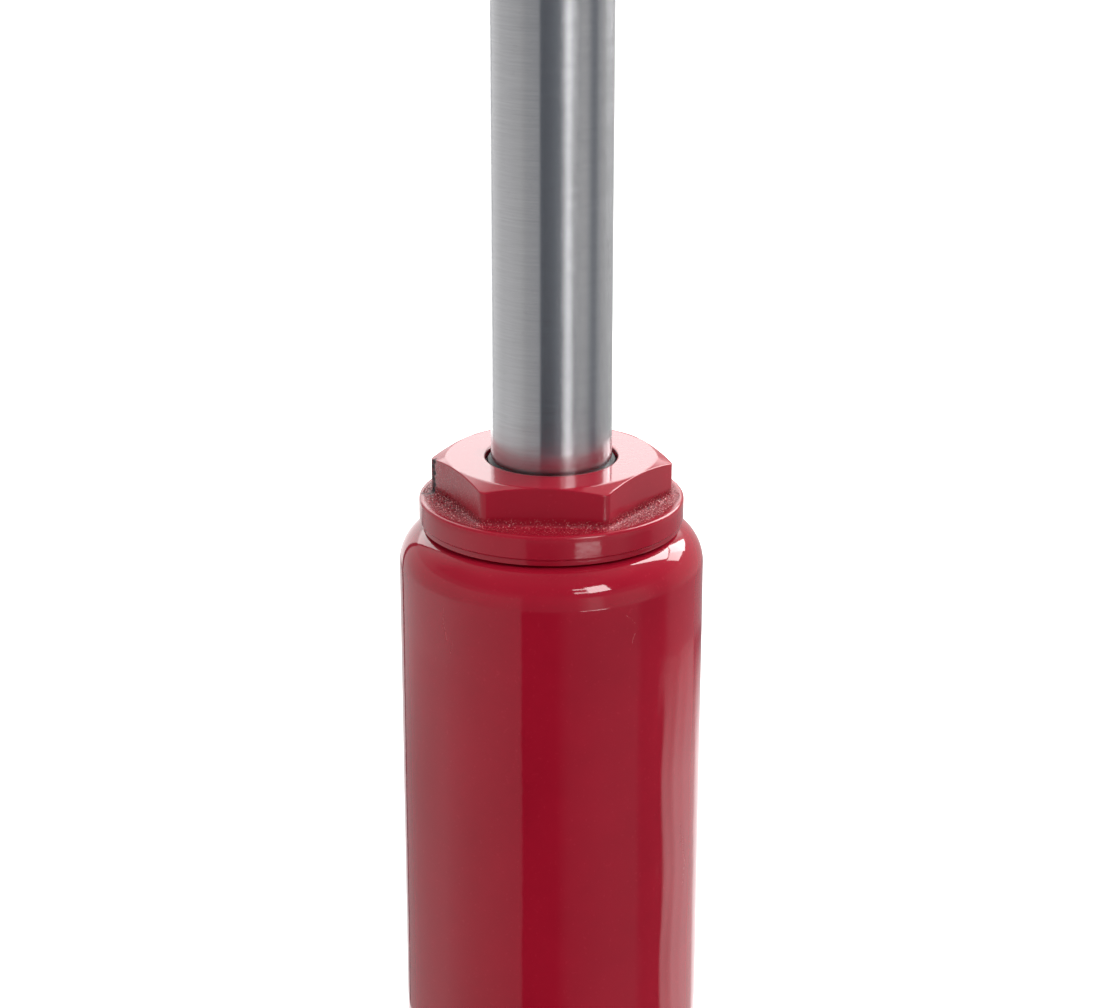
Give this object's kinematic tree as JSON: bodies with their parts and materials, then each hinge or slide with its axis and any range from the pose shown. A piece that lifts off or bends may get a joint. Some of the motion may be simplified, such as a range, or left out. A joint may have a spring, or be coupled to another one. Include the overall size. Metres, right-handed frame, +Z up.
{
  "type": "telescopic hydraulic cylinder",
  "caption": "Two-stage telescopic hydraulic ram in a red oil jacket, with hexagon tank nut, foot block and built-in hand pump.",
  "frame": {"origin": "on the ram's axis, in the plane of the foot's underside", "axes": "+Z up along the ram, +Y from the ram to the pump, +X to the side of the release screw"},
  "size_m": [0.172, 0.2732, 0.5372],
  "materials": {
    "foot": "red enamel on rough iron casting",
    "enamel": "gloss red enamel with light orange peel",
    "nut_enamel": "gloss red enamel over a turned and pitted steel nut",
    "lever_enamel": "red enamel on a forging",
    "ground_steel": "finely ground round the axis",
    "hard_chrome": "polished hard chrome",
    "steel": "turned steel",
    "dark_steel": "blackened steel",
    "zinc": "zinc plated",
    "spring_steel": "oiled spring steel",
    "iron": "machined grey iron",
    "bronze": "turned bearing bronze",
    "rubber": "nitrile rubber",
    "seal": "polyurethane",
    "wear": "filled wear ring"
  },
  "bodies": {
    "unit": {"base_block": "foot", "pressure_tube": "steel", "pressure_tube_o_ring": "rubber", "reservoir_jacket": "enamel", "jacket_lower_gasket": "rubber", "jacket_upper_gasket": "rubber", "filler_plug": "rubber", "tank_nut": "nut_enamel", "rod_wiper": "rubber", "guide_bush": "bronze", "stage_1_rod_seal": "seal", "guide_bush_o_ring": "rubber", "pump_barrel": "steel", "pump_gland_nut": "zinc", "pump_washer": "bronze", "pump_packing": "seal", "fulcrum_post": "steel", "fulcrum_pin": "zinc", "fulcrum_clip": "spring_steel", "valve_retainers": "bronze", "passage_plugs": "zinc", "relief_screw": "zinc", "relief_spring": "spring_steel"},
    "stage_1": {"stage_1_tube": "ground_steel", "stage_1_piston": "iron", "stage_1_piston_seal": "seal", "stage_1_wear_ring": "wear", "stage_1_gland_nut": "dark_steel", "stage_2_rod_seal": "seal", "stage_2_wiper": "rubber"},
    "stage_2": {"stage_2_rod": "hard_chrome", "stage_2_piston": "iron", "stage_2_piston_seal": "seal", "stage_2_wear_ring": "wear", "stage_2_piston_nut": "zinc"},
    "saddle_head": {"saddle": "dark_steel", "saddle_ring": "rubber"},
    "lever": {"pump_lever": "lever_enamel"},
    "plunger": {"pump_plunger": "hard_chrome", "plunger_pin": "zinc", "plunger_clip": "spring_steel"},
    "release_carrier": {"release_o_ring": "rubber"},
    "release": {"release_screw": "zinc"},
    "release_check": {"release_ball": "hard_chrome"},
    "suction_check": {"suction_ball": "hard_chrome"},
    "delivery_check": {"delivery_ball": "hard_chrome"},
    "relief_check": {"relief_ball": "hard_chrome"}
  },
  "joints": [
    {"name": "stage_1_slide", "type": "slide", "parent": "unit", "child": "stage_1", "axis": [0, 0, 1], "range_m": [-0.165, 0.0547]},
    {"name": "stage_2_slide", "type": "slide", "parent": "stage_1", "child": "stage_2", "axis": [0, 0, 1], "range_m": [0, 0.2324]},
    {"name": "saddle_swivel", "type": "hinge", "parent": "stage_2", "child": "saddle_head", "pos_m": [0, 0, 0.519], "axis": [0, 0, 1], "continuous": true},
    {"name": "lever_pivot", "type": "hinge", "parent": "unit", "child": "lever", "pos_m": [0, 0.066, 0.15], "axis": [1, 0, 0], "range_deg": [0, 36.87]},
    {"name": "plunger_slide", "type": "slide", "parent": "unit", "child": "plunger", "axis": [0, 0, 1], "range_m": [0, 0.0241]},
    {"name": "release_travel", "type": "slide", "parent": "unit", "child": "release_carrier", "axis": [1, 0, 0], "range_m": [0, 0.0015]},
    {"name": "release_turn", "type": "hinge", "parent": "release_carrier", "child": "release", "pos_m": [0.06, 0, 0.0144], "axis": [1, 0, 0], "range_deg": [0, 540.5]},
    {"name": "release_ball_slide", "type": "slide", "parent": "unit", "child": "release_check", "axis": [1, 0, 0], "range_m": [0, 0.0016]},
    {"name": "suction_ball_lift", "type": "slide", "parent": "unit", "child": "suction_check", "axis": [0, 0, 1], "range_m": [0, 0.0015]},
    {"name": "delivery_ball_lift", "type": "slide", "parent": "unit", "child": "delivery_check", "axis": [0, 0, 1], "range_m": [0, 0.0015]},
    {"name": "relief_ball_lift", "type": "slide", "parent": "unit", "child": "relief_check", "axis": [-1, 0, 0], "range_m": [0, 0.001], "stiffness_N_per_m": 2000, "springref_m": -0.002, "deforming": ["relief_spring"]}
  ],
  "couplings": [
    {"joint": "release_turn", "follows": "release_travel", "rad_per_m": 6283.2},
    {"joint": "plunger_slide", "follows": "lever_pivot", "m_per_rad": 0.037296},
    {"joint": "release_ball_slide", "follows": "release_travel", "ratio": 1}
  ]
}
